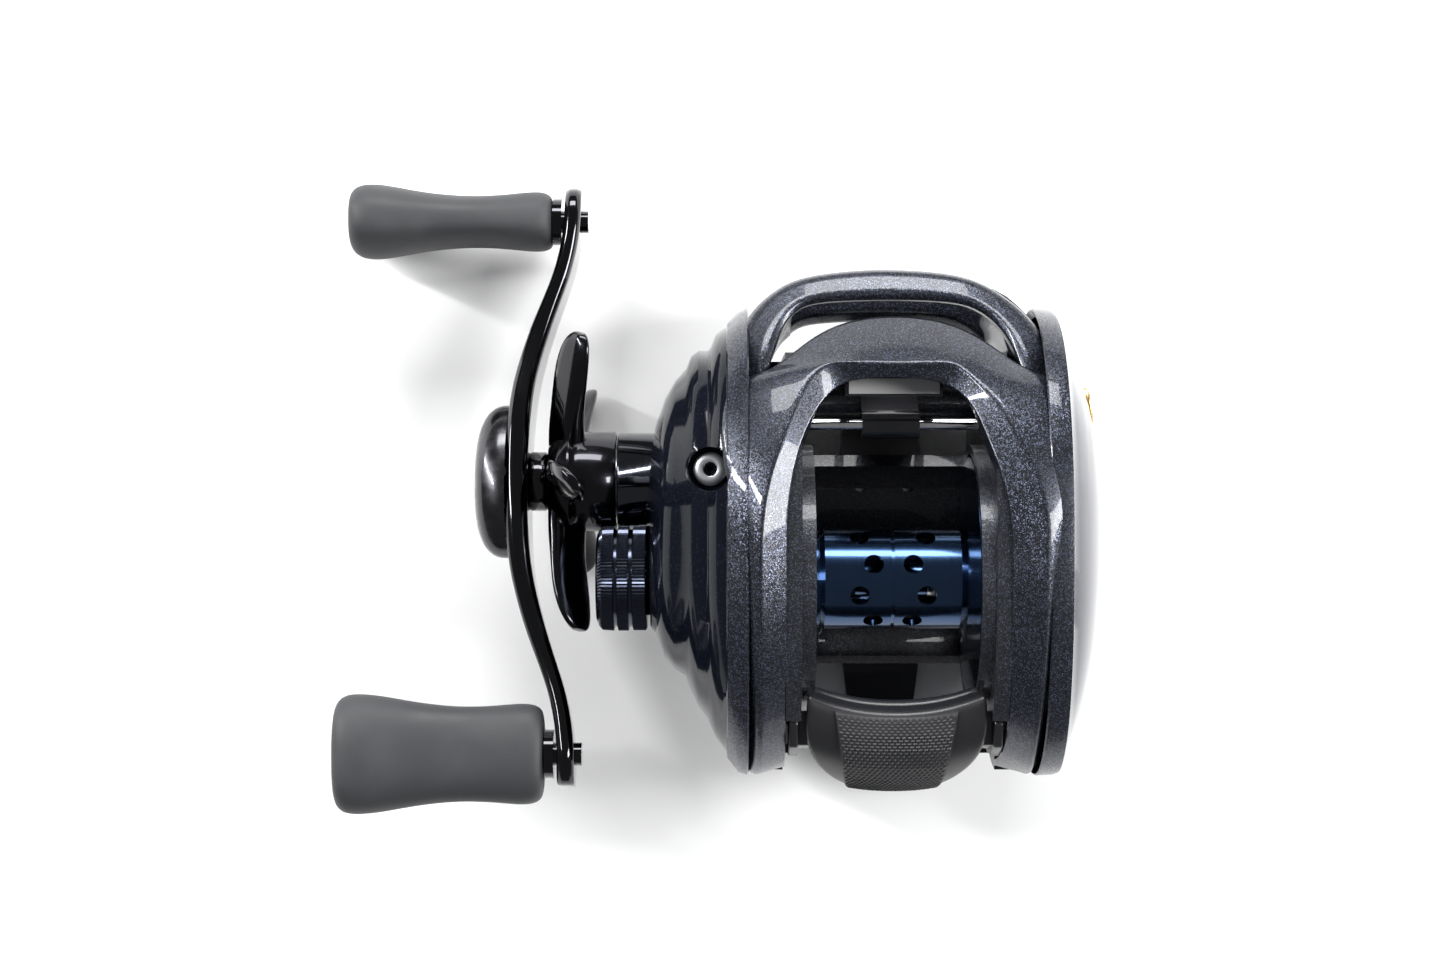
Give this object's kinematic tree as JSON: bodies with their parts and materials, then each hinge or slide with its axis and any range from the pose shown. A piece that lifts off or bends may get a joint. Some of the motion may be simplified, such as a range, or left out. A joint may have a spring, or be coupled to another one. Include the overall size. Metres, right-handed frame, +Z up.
{
  "type": "baitcasting reel",
  "caption": "Low-profile baitcasting fishing reel with a left-hand double crank, star drag, thumb bar, level wind, bored spool and a brake dial, on a reel foot.",
  "frame": {"origin": "centre of the reel foot's underside, where the reel seat of a rod holds it", "axes": "+Z up from the foot, +Y towards the rod tip, +X to the palm side, away from the crank"},
  "size_m": [0.1076, 0.0895, 0.0456],
  "materials": {
    "frame_paint": "dark gunmetal flake paint",
    "foot_metal": "satin black",
    "screw_steel": "plated",
    "flake_paint": "dark gunmetal flake paint, clear coat",
    "gear_cover_gloss": "gloss navy black",
    "palm_cover_gloss": "gloss dark blue black",
    "inner_black": "moulded",
    "magnet": "nickel plated",
    "bearing_steel": "ground",
    "gold_dial": "satin gold, knurled",
    "spring_steel": "drawn",
    "spool_blue": "gloss blue anodised",
    "shaft_steel": "ground",
    "rotor_alloy": "machined",
    "pinion_brass": "cut brass",
    "plate_steel": "stamped",
    "thumb_black": "satin black",
    "thumb_rubber": "textured",
    "gear_plastic": "moulded",
    "gear_brass": "cut brass",
    "drag_felt": "carbon weave",
    "star_black": "gloss black anodised",
    "tension_blue": "gloss blue black anodised",
    "arm_black": "gloss black",
    "nut_cover_black": "satin black",
    "bar_chrome": "polished",
    "guide_black": "gloss black",
    "label_plate": "bare light grey",
    "knob_rubber": "soft touch dark grey",
    "knob_cap": "black"
  },
  "bodies": {
    "reel_body": {"frame": "frame_paint", "reel_foot": "foot_metal", "foot_screws": "screw_steel", "top_cover": "flake_paint", "front_hood": "flake_paint", "gear_side_cover": "gear_cover_gloss", "gear_cover_screws": "screw_steel", "drive_shaft_bearings": "bearing_steel", "roller_clutch": "bearing_steel", "spool_bearing_gear": "bearing_steel", "pinion_bearing": "bearing_steel", "yoke_springs": "spring_steel", "guide_bar": "bar_chrome", "worm_bushes": "gear_plastic"},
    "palm_side": {"palm_side_cover": "palm_cover_gloss", "brake_housing": "inner_black", "housing_screws": "screw_steel", "outer_magnet_ring": "magnet", "inner_magnet_ring": "magnet", "spool_bearing_palm": "bearing_steel"},
    "brake_dial": {"brake_dial": "gold_dial", "brake_dial_clip": "spring_steel"},
    "spool": {"spool": "spool_blue", "spool_shaft": "shaft_steel", "spool_pin": "shaft_steel", "brake_rotor": "rotor_alloy"},
    "pinion": {"pinion": "pinion_brass"},
    "clutch_yoke": {"clutch_yoke": "inner_black"},
    "thumb_bar": {"thumb_bar": "thumb_black", "thumb_pad": "thumb_rubber", "clutch_plate": "plate_steel"},
    "handle": {"drive_shaft": "shaft_steel", "ratchet": "plate_steel", "worm_drive_gear": "gear_plastic", "main_gear": "gear_brass", "drag_washers": "drag_felt", "pressure_plate": "plate_steel", "clutch_sleeve": "shaft_steel", "drag_spring_washers": "spring_steel", "handle_arm": "arm_black", "handle_nut": "shaft_steel", "nut_cover": "nut_cover_black", "nut_cover_screw": "screw_steel", "knob_posts": "shaft_steel", "knob_screws": "screw_steel"},
    "star_drag": {"star_drag": "star_black"},
    "worm": {"worm_shaft": "shaft_steel", "worm_gear": "gear_plastic"},
    "line_guide": {"line_guide": "guide_black", "guide_label_plate": "label_plate", "pawl": "gear_brass", "pawl_cap": "gear_brass"},
    "tension_knob": {"tension_knob": "tension_blue", "tension_spacer": "gear_plastic"},
    "knob_front": {"knob_front": "knob_rubber", "knob_bearings_front": "bearing_steel", "knob_cap_front": "knob_cap"},
    "knob_rear": {"knob_rear": "knob_rubber", "knob_bearings_rear": "bearing_steel", "knob_cap_rear": "knob_cap"}
  },
  "joints": [
    {"name": "handle_crank", "type": "hinge", "parent": "reel_body", "child": "handle", "pos_m": [-0.03, 0.0095, 0.0186], "axis": [1, 0, 0], "continuous": true},
    {"name": "star_drag_turn", "type": "hinge", "parent": "handle", "child": "star_drag", "pos_m": [-0.043, 0.0095, 0.0186], "axis": [1, 0, 0], "range_deg": [-180, 180]},
    {"name": "knob_front_spin", "type": "hinge", "parent": "handle", "child": "knob_front", "pos_m": [-0.06, 0.04731, 0.00987], "axis": [1, 0, 0], "continuous": true},
    {"name": "knob_rear_spin", "type": "hinge", "parent": "handle", "child": "knob_rear", "pos_m": [-0.06, -0.02831, 0.02733], "axis": [1, 0, 0], "continuous": true},
    {"name": "spool_spin", "type": "hinge", "parent": "reel_body", "child": "spool", "pos_m": [0, -0.004, 0.0244], "axis": [1, 0, 0], "continuous": true},
    {"name": "clutch_slide", "type": "slide", "parent": "reel_body", "child": "clutch_yoke", "axis": [-1, 0, 0], "range_m": [0, 0.0016]},
    {"name": "pinion_spin", "type": "hinge", "parent": "clutch_yoke", "child": "pinion", "pos_m": [-0.023, -0.004, 0.0244], "axis": [1, 0, 0], "continuous": true},
    {"name": "thumb_bar_press", "type": "slide", "parent": "reel_body", "child": "thumb_bar", "axis": [0, -0.5, -0.866], "range_m": [0, 0.0045]},
    {"name": "worm_spin", "type": "hinge", "parent": "reel_body", "child": "worm", "pos_m": [0, 0.0216, 0.017], "axis": [1, 0, 0], "continuous": true},
    {"name": "line_guide_travel", "type": "slide", "parent": "reel_body", "child": "line_guide", "axis": [1, 0, 0], "range_m": [-0.006, 0.006]},
    {"name": "tension_knob_turn", "type": "hinge", "parent": "reel_body", "child": "tension_knob", "pos_m": [-0.037, -0.004, 0.0244], "axis": [1, 0, 0], "range_deg": [-360, 360]},
    {"name": "palm_side_off", "type": "slide", "parent": "reel_body", "child": "palm_side", "axis": [1, 0, 0], "range_m": [0, 0.016]},
    {"name": "brake_dial_turn", "type": "hinge", "parent": "palm_side", "child": "brake_dial", "pos_m": [0.027, 0.0161, 0.022], "axis": [1, 0, 0], "range_deg": [0, 270]}
  ],
  "couplings": [
    {"joint": "spool_spin", "follows": "handle_crank", "ratio": -6.3333},
    {"joint": "pinion_spin", "follows": "handle_crank", "ratio": -6.3333},
    {"joint": "worm_spin", "follows": "handle_crank", "ratio": -1.2},
    {"joint": "clutch_slide", "follows": "thumb_bar_press", "ratio": 0.35556}
  ]
}
